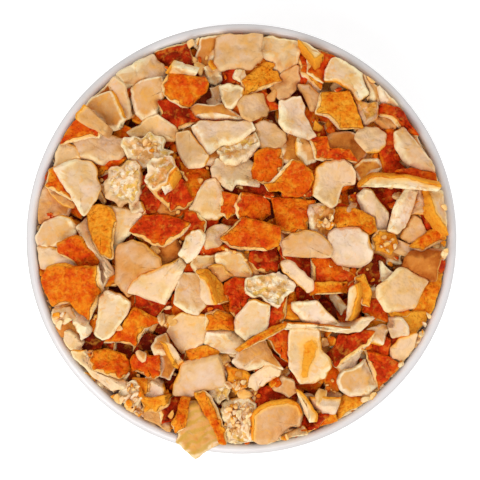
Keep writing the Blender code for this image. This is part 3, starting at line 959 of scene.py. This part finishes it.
zestSeen = """
0 9 -20.6,46.9 -19,48.3 -16,49.2 -14.8,48.5 -12.5,42 -16.5,43 -20.5,45.5
1 5.4 -42.6,29.4 -40.5,29.8 -36,28 -36.8,26.6 -39.5,26.6 -44.7,24.8
0 4.5 -38.7,20.3 -33.5,21 -31,19.8 -32,18 -36.3,17.4
1 8 -20.5,34.5 -17,35 -14.5,33 -13.5,31 -12,30 -17,28.2 -19.8,29.5
0 4 14.1,48.6 19.8,42 19.6,40.3 16,43.5
0 6 18,47 19.5,46 22.6,46 23,45.3 20.5,41.5 18,43
0 7 -4.9,42.3 -2,42.8 -1,41.8 -1.3,40.3 -3.5,39.9 -5.2,40.7
2 4 -19.8,39 -18,41.5 -9,40.8 -8.2,39 -8.9,37 -13.5,33.6 -15.2,33.8 -19.6,36.5
1 1 0.8,40.2 6.3,44.6 7.6,44.2 6.5,42.3 8.8,42.2 9.5,40.8 1.2,37.2
2 4.8 3.5,21.5 6.5,23 9.8,22.6 10.8,18.6 10,16 8,13.5 3,15.2
2 4.2 11,18.2 13,19.7 15.3,19.2 17.6,17 18,15 17,12.8 14.5,10.6 7,12.3 5.8,13.8 8,14
1 7 34.2,32.5 36,33.5 40,32.8 44,26.5 42,27.5 38.5,31.5
2 1.9 20.5,37.2 27.6,37.6 30.7,28.4 25,28.2 22.4,31.2 19.4,32.3
0 4 29.5,30.5 32,31.3 34.5,29 38,27.5 36.8,26.6 30,28.8
1 5 18.2,25 21,25 21.7,22.3 27,21.8 28,20.2 24,20 19.5,21
1 6 36.5,26.5 38.3,26.9 39.2,22.8 41.8,17.8 39,16 36.7,17.2 36,23.8
1 6 40.5,16.8 43.5,17.2 48.6,16.5 48.9,14.5 45.5,14.2 41.5,15.4
0 8 32.5,12.8 41,13 38.3,6
0 8 46.6,5.6 49.6,5.2 51.8,3 51.8,1.2 49.5,0.5 47,1.5 46.3,3
1 3 44.3,-1.7 48.5,1.7 51.6,2 51.8,0.5 46,-2.2
1 2 23.8,7.2 27.5,7.6 33.3,5 33.9,2.6 31.8,1.8 28.5,3.3 24.5,3 23,4.7
1 1 33.9,0 35.4,1.4 38.3,1.4 39.2,-0.9 37.7,-3 34.8,-2.1
0 9 34,-5.4 35.5,-6 35.5,-8 33,-10.4 31,-10.8 30.8,-9
0 2 47,-11 50,-9.5 50,-13 48.7,-17 47,-18.8 44.5,-18 45.3,-15 47.5,-12.5
1 5 18.3,-5.4 20.5,-4.7 22.8,-5 24.2,-7 28,-9.8 25.5,-12 21,-13 18.5,-11.5
1 3 18,-12.2 26,-12 26,-13.2 18,-13.6
1 6 31.8,-16.8 34.8,-16 36.4,-18.6 36.5,-20.5 33.5,-20.3 31.5,-18.5
1 8 25,-25.2 27,-25.6 30.5,-24 32.3,-24.2 31.5,-26.5 24,-31.8 22.3,-29.9 24,-28
0 1 33,-20.8 37.5,-20.6 38,-22 33,-22.5
0 0 38.8,-19.5 46,-19.8 46.5,-21 43.5,-24 40,-21.5
0 9 36,-26 39.5,-25 38.2,-30 36.5,-30.5 35.5,-28
2 6 32.2,-29 37.5,-30.4 39.8,-31.8 39.6,-33.2 35,-38 32,-30.8
0 7 32.2,-25.8 34,-25.3 36.5,-26.5 36,-30 33.5,-29.5 32,-27.5
0 1 28,-40.4 30.3,-42 24.5,-44.8 22.5,-44.2
0 9 18.4,-42.8 22.8,-42.5 22.5,-44.3 19,-46.3
0 2 19,-45 22.5,-44.8 22.8,-45.8 18.4,-47.3
1 3 -8.2,-19.8 -6,-19.2 -2.5,-20 -2,-22.6 -8.2,-22.4
1 6 7,-18.5 10.8,-15.5 9.8,-22 7.5,-22.8
1 5 7,-25.2 10,-23.2 12.3,-23.2 11.3,-30.5 10,-30
1 2 -14.2,-31.6 -13.5,-29 -8.5,-27.6 -6.5,-28.8 -7,-29.9
1 1 -3,-33.8 0.6,-34.6 1.8,-35.8 0.8,-37.5 -1.5,-38.8 -3,-37
2 3.4 -11.8,-39.4 -9.3,-38.8 -8,-40 -4,-48.3 -4,-51.8 -5.3,-51.2
0 9 -19.7,-42.3 -17,-41.2 -15.8,-41.8 -17,-44.6 -19,-45
0 8 4.5,-39.5 6,-38.6 10,-38.8 12,-40 4.3,-42
0 8 17.2,-46.2 19.7,-46.2 18.8,-47.8 14.6,-49.4
0 8 -27.5,-19.5 -26,-17.3 -25.8,-15.5 -24,-16.5 -20,-16.8 -23,-20 -26,-20.3
1 4.2 -31.9,-25.5 -26.8,-18.8 -21.4,-21 -24.9,-22.9 -27.2,-26.6
0 11.5 -26.5,-26.5 -24.5,-25.5 -22.5,-26.2 -22.5,-28 -24.5,-29 -26.5,-28.3
2 3.8 -38.5,-30.8 -37.5,-28.6 -34.5,-28 -29.5,-29.8 -28.5,-32 -29.2,-34.3 -31,-35.4 -37.5,-33
2 5.6 -28.3,-31.5 -27.5,-30 -21,-29.8 -21,-34.5 -22.5,-35.6 -28,-33.8
0 11.5 -40.2,-26.2 -38.8,-25.3 -36.8,-26.2 -37.5,-27.6 -39.5,-27.6
1 3 -27,-36.5 -25,-36.5 -24.8,-39 -25.6,-40 -26.8,-38.6
1 1 -24.8,-41 -18.7,-40.3 -19.7,-42 -22,-43.3 -24,-43
0 8 -49.1,16 -47.3,18 -46.8,15.8 -48.6,15.4
1 3.5 -49.6,17.5 -47.2,17.6 -41.9,11 -42.6,10.4 -48.7,13.8
1 5 -42,-0.3 -40.8,-0.6 -39.8,-3 -37,-6 -37.8,-8 -40.5,-8.3 -42.3,-5.5 -46,-3.2 -46,-2
1 3.5 -50.6,-10.5 -49,-7.8 -45.5,-7 -43,-8 -37.2,-8 -36.2,-13.5 -39.2,-19.8 -41.2,-18.5 -43.4,-15.4
 -47.5,-16.4 -49.8,-13.5
1 1 -39,7 -36.5,8.2 -34,7.5 -33,4.5 -33.8,-4 -35.5,-3.5 -37.3,0
0 8 -26.2,11 -24,12.5 -22,12.2 -21.3,10 -23.2,6.6 -25.3,7.6
1 7 -22.5,13.3 -17.5,15.3 -15,14.5 -13,10 -14.5,8.2 -17.5,7.6
2 6 -28,2.2 -24.5,5.8 -19,6 -13.3,3.8 -14.5,2 -20,-1.8 -22.3,-1.3
0 5 -16.3,19.3 -15,19.7 -13.8,17.5 -14.2,14.8 -16,14.8 -17.5,15.8
0 3 -14.2,17.8 -9.3,16.4 -9,15 -10.3,12 -12.3,11 -13.7,13.5
0 9 -3.8,11.5 -2,13.2 0.5,14 4,13.8 5.3,12 5.4,10.2 -0.3,10 -1,8 -3.5,8.5
1 5 -4.2,11 -1.5,10.5 -1,7.5 -3.5,6 -4.6,7
1 5 -0.6,8.5 0.7,10.8 5.3,10 6.5,8.5 6.8,6.3 5,4.8 2.5,4.6 0,5.6
1 4 8.5,9.7 17.7,9 16.2,3 13,1.8 10,2.6
2 4.8 -5.3,0.2 0.5,5.5 9.5,2.8 9.8,0.3 9,-1.8 6,-2.8 -3,-1.8
1 6 -13.2,6 -11.5,5.6 -10,4 -10.2,2.4 -12.2,2.4 -13.8,3.5
0 6 -9.8,-1.5 -7.5,-2.2 -4,-1.9 -4.5,-3.3 -11,-4.6
1 8 3.2,-4 8.3,-3.3 9.3,-5.8 8.7,-8 6.5,-8.2 4.3,-7.3 3,-5.6
0 8 11.8,-4.8 16.5,-5.3 18.3,-7 18.8,-10 17.9,-10.5
1 0 -10.3,-8.5 -9,-8.2 -4.2,-13.5 -3.8,-15 -5.5,-15.7 -6.9,-15.3
1 7 -3.3,-11.5 -1.5,-10.3 1.5,-11 2.7,-14.5 -1,-19.2 -2.2,-18 -1.8,-15.5 -3.2,-13.5
0 3 -5.2,-15.8 -3.8,-14 -2,-14.8 -1.2,-17.5 -1.8,-19.5 -3.5,-19.3 -5,-17.5
0 5 -14,-7 -12,-6.2 -10.8,-8.3 -12,-9.2 -13.8,-8.6
0 8 -9.5,-17.2 -7.2,-16 -5.5,-19.5 -9.9,-19
0 2 9.3,-16.5 12.3,-14.3 14.5,-19.5 10.3,-20
0 8 15.8,-13.8 18.3,-14 18.5,-16 16,-16.5
2 0.3 28.9,-9.9 30.8,-9.2 32.7,-13.7 32.3,-17 30.7,-16.4
2 4 -15.2,-40.4 -13.6,-40.8 -15,-47.6 -16.6,-49 -17.4,-46.8
2 3.5 -1.4,-28 8,-22.4 11.2,-21.5 11,-22.3 -0.6,-28.6
0 1 -39.3,-34.2 -38,-35.2 -37.6,-35.8 -38.4,-35.2
"""
# Cut strips that stand on edge, with the side their zest faces in degrees before the tone.
stripSeen = """
1 135 5 -41.9,32.2 -39.8,33.2 -34.3,28.2 -34.9,27.2 -41,30.6
1 230 5 14.6,49.7 16,49.3 19.6,46.2 18.5,45.6
1 220 3 -18.4,42.2 -17.6,43.2 -12.2,41.6 -13,40.8
2 90 2 29.4,13 32.5,15.8 42.5,15.5 49.5,13.2 48.8,11.8 37,13.2
1 200 4 47.5,12 49.8,11.6 51.3,7 51.9,1 49,6.6
2 20 1 27.2,-12.6 28.9,-11.6 29.4,-14.8 27.6,-20.6 26.2,-20.6
1 90 1 17.8,-40.3 24.3,-40.5 23.5,-41.9 18.2,-42
2 45 3 13.8,-38 15,-38.5 19,-44.5 18.9,-45.8 17,-46.2
1 60 2 -10,-10 -9,-10.5 -7,-15.9 -8.5,-16 -9.7,-14.5
1 45 1 -19.7,18.3 -17.8,19 -16.5,17.6 -18,14.9 -19.7,13.8
1 240 2 -19.2,-26.6 -18,-26.8 -15.2,-31.2 -16,-32
"""
pulpySeen = """
2 3 -29.6,24.4 -27.5,26.2 -23.5,26.4 -19,25.2 -17.2,22 -18.6,19.6 -24,18.8 -29,20
1 5 -5.5,22.3 -3.5,24.5 3.3,26.6 4,24.5 0.8,21 -2,20.3 -5,21
1 9 28.5,36.3 30.5,34.8 33.8,34.3 33.5,31.8 31.5,30.3 29.7,32
1 10.5 18.2,2.6 18,8 21.5,9 22.8,7.2 21.2,0.7 19,1.3
1 1.5 -8,-37.8 -4,-38.5 -3.6,-41 -5.5,-41.6 -7.5,-40.4
0 0 -4.2,-42.8 -1,-41.8 1.9,-42.4 3,-45.5 2.4,-49.5 0,-50.6 -3,-50
1 0.5 -30,-37.2 -27.5,-36.6 -25.8,-40.5 -27,-42 -29,-41.5 -30.5,-39.5
2 3 -34.6,14.9 -32.9,17.8 -28.8,19.6 -25.5,18.4 -25.6,13 -27.6,8.3 -30.6,8.2 -34.1,10.8
2 7 -24.3,14.6 -23,19.2 -19.2,21 -16.5,18 -18.9,14.3 -22.4,12.4
1 1.8 2,-10.5 9,-8.5 13,-12 12.8,-13 10.7,-14 9.5,-16 7.5,-16 1.5,-13
"""
# A pale chip with a spot of zest left on it, and the spot's two ends.
zestSpot = (17.4, -27.4, 15.9, -34.2)
spottedSeen = """
2 2 12.4,-23 19.5,-23.2 20,-28.2 22.4,-30.5 22.8,-32.8 21.3,-35.2 18.1,-36.7 15,-36.8 12.4,-32.8 11.8,-28.3
"""
# A flat chip with a band of zest along one side, given as a strip's is.
bandedSeen = """
2 105 5.5 3,-44.8 5,-42.6 8,-41.4 12,-41.3 14.5,-42.6 15.6,-45 15,-47.5 12.5,-48 8,-51.2 4.5,-51.7 3,-50.6
"""
# The chip that lies out across the rim: its corners, the ends of its stripe of zest, and how it lies, as
# height and slopes to the right and to the back.
rimSeen = [
    (-14, -41.3), (-10.8, -41.1), (-7.2, -46.6), (-4.9, -49.3), (-4, -51.9), (-8.4, -54.1),
    (-11.8, -56.2), (-16.7, -51.8), (-16.1, -50), (-17.1, -47.9), (-17, -45.6), (-15.6, -42.8),
]
rimStripe = (-17.2, -42.5, -17.6, -48.2)
rimLie = (45.0, 0.0, 0.08)

# The core: a dome below the chips, closed below along the inside of the bowl.
coreLook = {
    "below": 8.55,
    "gap": 0.5,  # kept between the core and the bowl
    "highest": 39.0,  # where the core's side ends
    "columns": 96,
    "colour": paint(156, 42, 6),
    "light": paint(200, 76, 15),
}


def coreProfile(look):
    # The dome from its crown outward, then the bowl's inside moved in and up by the gap, down to the floor.
    gap = look["gap"]
    side = innerWall(bowlLook)
    side = side[side[:, 1] + gap < look["highest"]] + [-gap, gap]
    radius = np.linspace(0, side[-1, 0], 22)
    dome = np.stack([radius, domeHeight(radius, look["below"])], axis=1)
    return np.vstack([dome, side[::-1], [[10, side[0, 1]], [0, side[0, 1]]]])


def coreMaterial(look):
    # Two deep oranges mixed by lumps, with small cells as relief. The deep colour is partly painted shade,
    # for where the core shows between the chips.
    net = Net("peel_core")
    place = net.make("ShaderNodeTexCoord", output=3)
    lumps = net.noise(place, 260.0, 4.0, 0.6)
    cells = net.cells(place, 420.0)
    colour = net.mix(lumps.rise(0.35, 0.65), look["colour"], look["light"])
    return net.finish(Base_Color=colour, Roughness=0.7, Normal=net.bump(lumps + cells * 0.6, 1.2 * mm))


profile = coreProfile(coreLook)
core = addPiece(
    "heapCore",
    turnProfile(profile, coreLook["columns"]),
    ringFaces(len(profile) - 2, coreLook["columns"]),
    coreMaterial(coreLook),
)
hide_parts("peel_heap")

# Dark gaps between the chips, as (x, y, radius): nothing small lies here.
gaps = np.array([
    (-31, 28, 2), (-26, 29, 2), (6.5, 38, 1.5), (13.5, 37.7, 1.8), (-9.5, 34.5, 1.2), (8.5, 33, 1.8),
    (-13, 47, 1.5), (22, -16, 2), (30, -32.5, 1.3), (18.5, -39.3, 1), (-4, -42.3, 1), (-5, -23.5, 2),
    (-34, -26.5, 2), (-30, -28.5, 2), (-21.3, -23.2, 1.6), (-25.5, -41.5, 1), (-18.7, -37.5, 1.6),
    (-42, 6, 1.6), (-28.5, 0.5, 1.2), (-32, -4, 1), (-34, 9.5, 1), (-7.5, 3.2, 2), (-3, 5.5, 1.6),
    (-12, 18.3, 1.6), (-8, 16.5, 1.2), (7, 6, 1), (-3.8, -12.5, 1.2), (-38, -24.5, 1.3), (-36, -25.5, 1.5),
    (-26, -27, 1.5), (-23, -24, 1.3), (14.3, -15, 1.2), (15.5, -7, 1.8), (4, 12, 2), (35, 10, 2.5),
    (37.5, -28, 2), (-40, 3.5, 1.5),
])


def clearOfGaps(spot, margin):
    # Whether the spot lies further than the margin from the edge of every gap.
    return bool(np.all(np.hypot(gaps[:, 0] - spot[0], gaps[:, 1] - spot[1]) > gaps[:, 2] + margin))


def toward(bearing):
    # One step from the middle of the bowl in this direction.
    return np.array([math.cos(bearing), math.sin(bearing)])


def ringOf(spot, sizes, flatness):
    # Four to six corners at uneven steps and distances round a spot, squashed one way and turned by chance,
    # none past the wall of the bowl.
    size = rng.uniform(*sizes)
    corners = int(rng.integers(4, 7))
    squash = rng.uniform(*flatness) if len(flatness) > 1 else flatness[0]
    turn = (np.arange(corners) + rng.uniform(0, 0.7, corners)) * 2 * np.pi / corners + rng.uniform(0, 6)
    out = size * rng.uniform(0.7, 1.15, corners)
    heading = rng.uniform(0, np.pi)
    along, across = np.cos(turn) * out, np.sin(turn) * out * squash
    x = spot[0] + along * math.cos(heading) - across * math.sin(heading)
    y = spot[1] + along * math.sin(heading) + across * math.cos(heading)
    around = np.stack([x, y], axis=1)
    return around * np.minimum(1.0, heapLook["bitWall"] / np.hypot(x, y))[:, None]


# Chips that only show through the gaps, on two spirals of even spacing. Their darker tones, deepest in the
# middle of the heap and near the gaps, are painted shade for the depths of the pile.
fill = Pile(14, 4)
goldenTurn = 2.39996
fillLook = {"layers": 2, "count": 215, "size": (3.4, 5.8), "reach": 50.0, "nearWall": 45.0}
for layer in range(fillLook["layers"]):
    for k in range(fillLook["count"]):
        out = fillLook["reach"] * math.sqrt((k + 0.5) / fillLook["count"])
        bearing = goldenTurn * k + layer * 1.3
        spot = toward(bearing) * out + rng.uniform(-1.2, 1.2, 2)
        around = ringOf(spot, fillLook["size"], (0.8,))
        if layer == 1 and not clearOfGaps(spot, 1.5):
            continue
        inner = out < fillLook["nearWall"]
        pithUp = bool(rng.uniform() < (0.25 if inner else 0.7))
        pithTone = rng.uniform(5.5, 9.5) if inner else rng.uniform(3.0, 7.0)
        zestTone = rng.uniform(3.0, 7.5)
        # Near a gap the chip lies zest up in the darkest tones, some past 9: painted shade.
        if not clearOfGaps(spot, 1.0):
            pithUp = False
            zestTone = rng.uniform(7.8, 10.8)
        fill.add(around, pithUp, pithTone, zestTone, fillForm, settle=0.8)

# Broken bits and crumbs, which lie where the chips leave room.
bitLook = {
    "form": bitForm,
    "tries": 900,
    "reach": 51.0,
    "size": (1.3, 2.8),
    "flatness": (0.55, 0.95),
    "over": 0.4,  # the share of the corners that may lie over a larger chip
    "pith": 0.6,
    "pithTone": (4, 9),
    "zestTone": (1, 8),
    "settle": 0.6,
}
crumbLook = {**bitLook, "form": crumbForm, "reach": 50.5, "size": (0.5, 1.2), "over": 0.5}
wallLook = {
    "form": fillForm,
    "turns": 1,
    "count": 170,
    "stray": 0.03,
    "out": (48.8, 51.8),
    "size": (1.6, 3.2),
    "flatness": (0.3, 0.7),
    "highest": farAway,
    "pith": 0.8,
    "pithTone": (2, 6),
    "zestTone": (1, 6),
    "settle": 0.75,
}
jointLook = {
    "form": bitForm,
    "turns": 2,
    "count": 360,
    "stray": 0.02,
    "out": (51.0, 51.7),
    "size": (0.8, 1.6),
    "flatness": (0.4, 0.8),
    "highest": 44.0,
    "pith": 0.88,
    "pithTone": (0, 4),
    "zestTone": (0, 4),
    "settle": 0.9,
}
rubbleLook = {
    "form": bitForm,
    "size": (0.6, 1.5),
    "flatness": (0.5, 0.9),
    "pith": 0.86,
    "zestTone": (0, 4),
    "settle": 0.55,
    "reach": 51.0,
    # Where tiny bits lie together, as (x, y, radius, how many, palest tone, darkest tone).
    "places": [
        (-1, -46, 4, 44, 0, 0.8), (-28, -40, 2.6, 16, 0, 2), (-46, -20, 2, 4, 0, 2), (21, 4.5, 2.2, 14, 2, 6),
        (-1.5, -36, 2.2, 10, 4, 8), (-24, 22.5, 2.8, 8, 0, 3), (37, -2, 2.5, 8, 1, 5),
    ],
}
bits = Pile(16, 3)
crumbs = Pile(12, 2)


def addBit(pile, around, look):
    # Lays a bit with its upper side, its two tones and its seat drawn as the look says.
    pithUp = bool(rng.uniform() < look["pith"])
    pithTone, zestTone = rng.uniform(*look["pithTone"]), rng.uniform(*look["zestTone"])
    pile.add(around, pithUp, pithTone, zestTone, look["form"], settle=look["settle"])


def aroundMean(reach):
    # The mean height within a square of twice the reach, from running sums.
    total = np.pad(heights, reach, mode="edge").cumsum(axis=0).cumsum(axis=1)
    total = np.pad(total, ((1, 0), (1, 0)))
    wide = 2 * reach + 1
    upper = total[wide:, wide:] - total[:-wide, wide:]
    return (upper - total[wide:, :-wide] + total[:-wide, :-wide]) / wide**2


def scatter(pile, look, share, lower):
    # Tries spots at random and keeps those that lie lower than their surroundings.
    hollows = aroundMean(7) - heights
    placed = 0
    for _ in range(int(look["tries"] * share)):
        out = look["reach"] * math.sqrt(rng.uniform())
        spot = toward(rng.uniform(0, 2 * np.pi)) * out
        around = ringOf(spot, look["size"], look["flatness"])
        at = tuple(np.searchsorted(ruler, spot))
        corners = np.searchsorted(ruler, around)
        hidden = covered[at] or covered[corners[:, 0], corners[:, 1]].mean() > look["over"]
        if hollows[at] < lower or hidden or not clearOfGaps(spot, 0.3):
            continue
        addBit(pile, around, look)
        placed += 1
    print(f"{placed} bits up to {look['size'][1]} mm", flush=True)


def lineWall(look):
    # Bits at even steps round the wall of the bowl, where nothing stands too high yet.
    for k in range(look["turns"] * look["count"]):
        bearing = 2 * np.pi * k / look["count"] + rng.uniform(-look["stray"], look["stray"])
        spot = toward(bearing) * rng.uniform(*look["out"])
        around = ringOf(spot, look["size"], look["flatness"])
        if heights[tuple(np.searchsorted(ruler, spot))] <= look["highest"]:
            addBit(bits, around, look)


def readRows(kind, text, lead=2):
    # Turns each row into the chip's kind, level, side if it has one, tone and corners. A line that starts
    # with a blank goes on with the row above.
    lines = text.strip().replace("\n ", " ").replace(",", " ").splitlines()
    rows = [[float(word) for word in line.split()] for line in lines]
    return [(kind, row[0], row[1] if lead > 2 else None, row[lead - 1], row[lead:]) for row in rows]


# Slivers along the wall first, then the chips that show, the lowest level first.
lineWall(wallLook)
piles = {"pith": Pile(64, 5), "zest": Pile(64, 5), "strip": Pile(64, 5), "pulpy": Pile(96, 12)}
rimPile = Pile(72, 8)
forms = {
    "pith": flatForm,
    "zest": zestForm,
    "strip": stripForm,
    "pulpy": pulpyForm,
    "banded": flatForm,
    "spotted": {**flatForm, "curl": (0.3, 0.3)},
}
seen = readRows("pith", pithSeen) + readRows("zest", zestSeen) + readRows("strip", stripSeen, 3)
seen += readRows("pulpy", pulpySeen) + readRows("banded", bandedSeen, 3) + readRows("spotted", spottedSeen)
layLook = {"growth": (1.5, 0.9, 0.32), "settle": (0.6, 0.78, 0.8)}  # by level
paleTone = 2  # pith chips up to this tone lie the pale way
tallest = 0.0
for level in (0, 1, 2):
    if level == 2:
        rimPile.add(rimSeen, True, 5.5, 3.2, rimForm, lie=rimLie, zestLine=rimStripe, cover=True)
    if level > 0:
        scatter(bits, bitLook, 0.5, 0.9)
        scatter(crumbs, crumbLook, 0.3, 0.9)
    for kind, lies, side, tone, corners in seen:
        if lies != level:
            continue
        form = forms[kind]
        if kind in ("pith", "spotted") and tone <= paleTone:
            form = {**form, **paleLie}
        if kind == "zest":
            pithTone, zestTone = rng.uniform(1.0, 4.5), tone
        else:
            pithTone, zestTone = tone, rng.uniform(*((0.0, 2.0) if side or kind == "spotted" else (0.5, 5.0)))
        tall = piles["strip" if kind in ("banded", "spotted") else kind].add(
            corners, kind != "zest", pithTone, zestTone, form,
            grow=layLook["growth"][level] * (1.0 if kind == "zest" else 0.75),
            settle=layLook["settle"][level],
            zestSide=side,
            zestLine=zestSpot if kind == "spotted" else None,
            cover=level > 0,
        )
        tallest = max(tallest, tall)
print(f"{len(seen)} chips, the tallest at {tallest:.1f} mm", flush=True)

scatter(bits, bitLook, 0.8, 1.3)
scatter(crumbs, crumbLook, 0.8, 1.0)
lineWall(jointLook)
for x, y, reach, count, *pithTone in rubbleLook["places"]:
    for _ in range(count):
        out = reach * math.sqrt(rng.uniform())
        spot = np.array([x, y]) + toward(rng.uniform(0, 2 * np.pi)) * out
        spot *= min(1.0, rubbleLook["reach"] / float(np.hypot(*spot)))
        around = ringOf(spot, rubbleLook["size"], rubbleLook["flatness"])
        addBit(bits, around, {**rubbleLook, "pithTone": pithTone})
pressUnder()

plainPeel = peelMaterial("peel_under", plainLook)
rimPile.piece("rimChip", peelMaterial("peel_rim", rimLook))
fill.piece("fillerChips", plainPeel)
bits.piece("bits", plainPeel)
crumbs.piece("crumbs", plainPeel)
looks = {"pith": plainLook, "zest": coarseLook, "strip": stripLook, "pulpy": pulpyLook}
for kind, pile in piles.items():
    pile.piece(kind + "Chips", peelMaterial("peel_" + kind, looks[kind]))

bpy.ops.mesh.primitive_plane_add(size=6.0, location=(0, 0, -0.2 * mm))
floor = bpy.context.object
floor.name = "floor"
white = (1.0, 1.0, 1.0, 1.0)
floorPaint = {"Base_Color": (0.93, 0.93, 0.93, 1.0), "Emission_Color": white, "Emission_Strength": 0.34}
floor.data.materials.append(Net("floor_white").finish(Roughness=0.9, **floorPaint))

roomLight = 0.57
lights = {"keyLight": ((-0.2, -0.33, 0.61), 0.56, 2.95), "fillLight": ((0.55, 0.55, 1.0), 1.0, 2.2)}
for name, (spot, size, power) in lights.items():
    data = bpy.data.lights.new(name, "AREA")
    data.size = size
    data.energy = power
    lamp = bpy.data.objects.new(name, data)
    lamp.location = spot
    lamp.rotation_euler = (-Vector(spot)).to_track_quat("-Z", "Y").to_euler()
    scene.collection.objects.link(lamp)

world = bpy.data.worlds.new("room")
scene.world = world
world.use_nodes = True
world.node_tree.nodes["Background"].inputs["Color"].default_value = white
world.node_tree.nodes["Background"].inputs["Strength"].default_value = roomLight

cameraData = bpy.data.cameras.new("camera")
cameraData.lens = 176.3
cameraData.sensor_width = 36.0
cameraData.clip_end = 10.0
camera = bpy.data.objects.new("camera", cameraData)
camera.location = (-0.00036, -0.00028, 0.644)
scene.collection.objects.link(camera)
scene.camera = camera
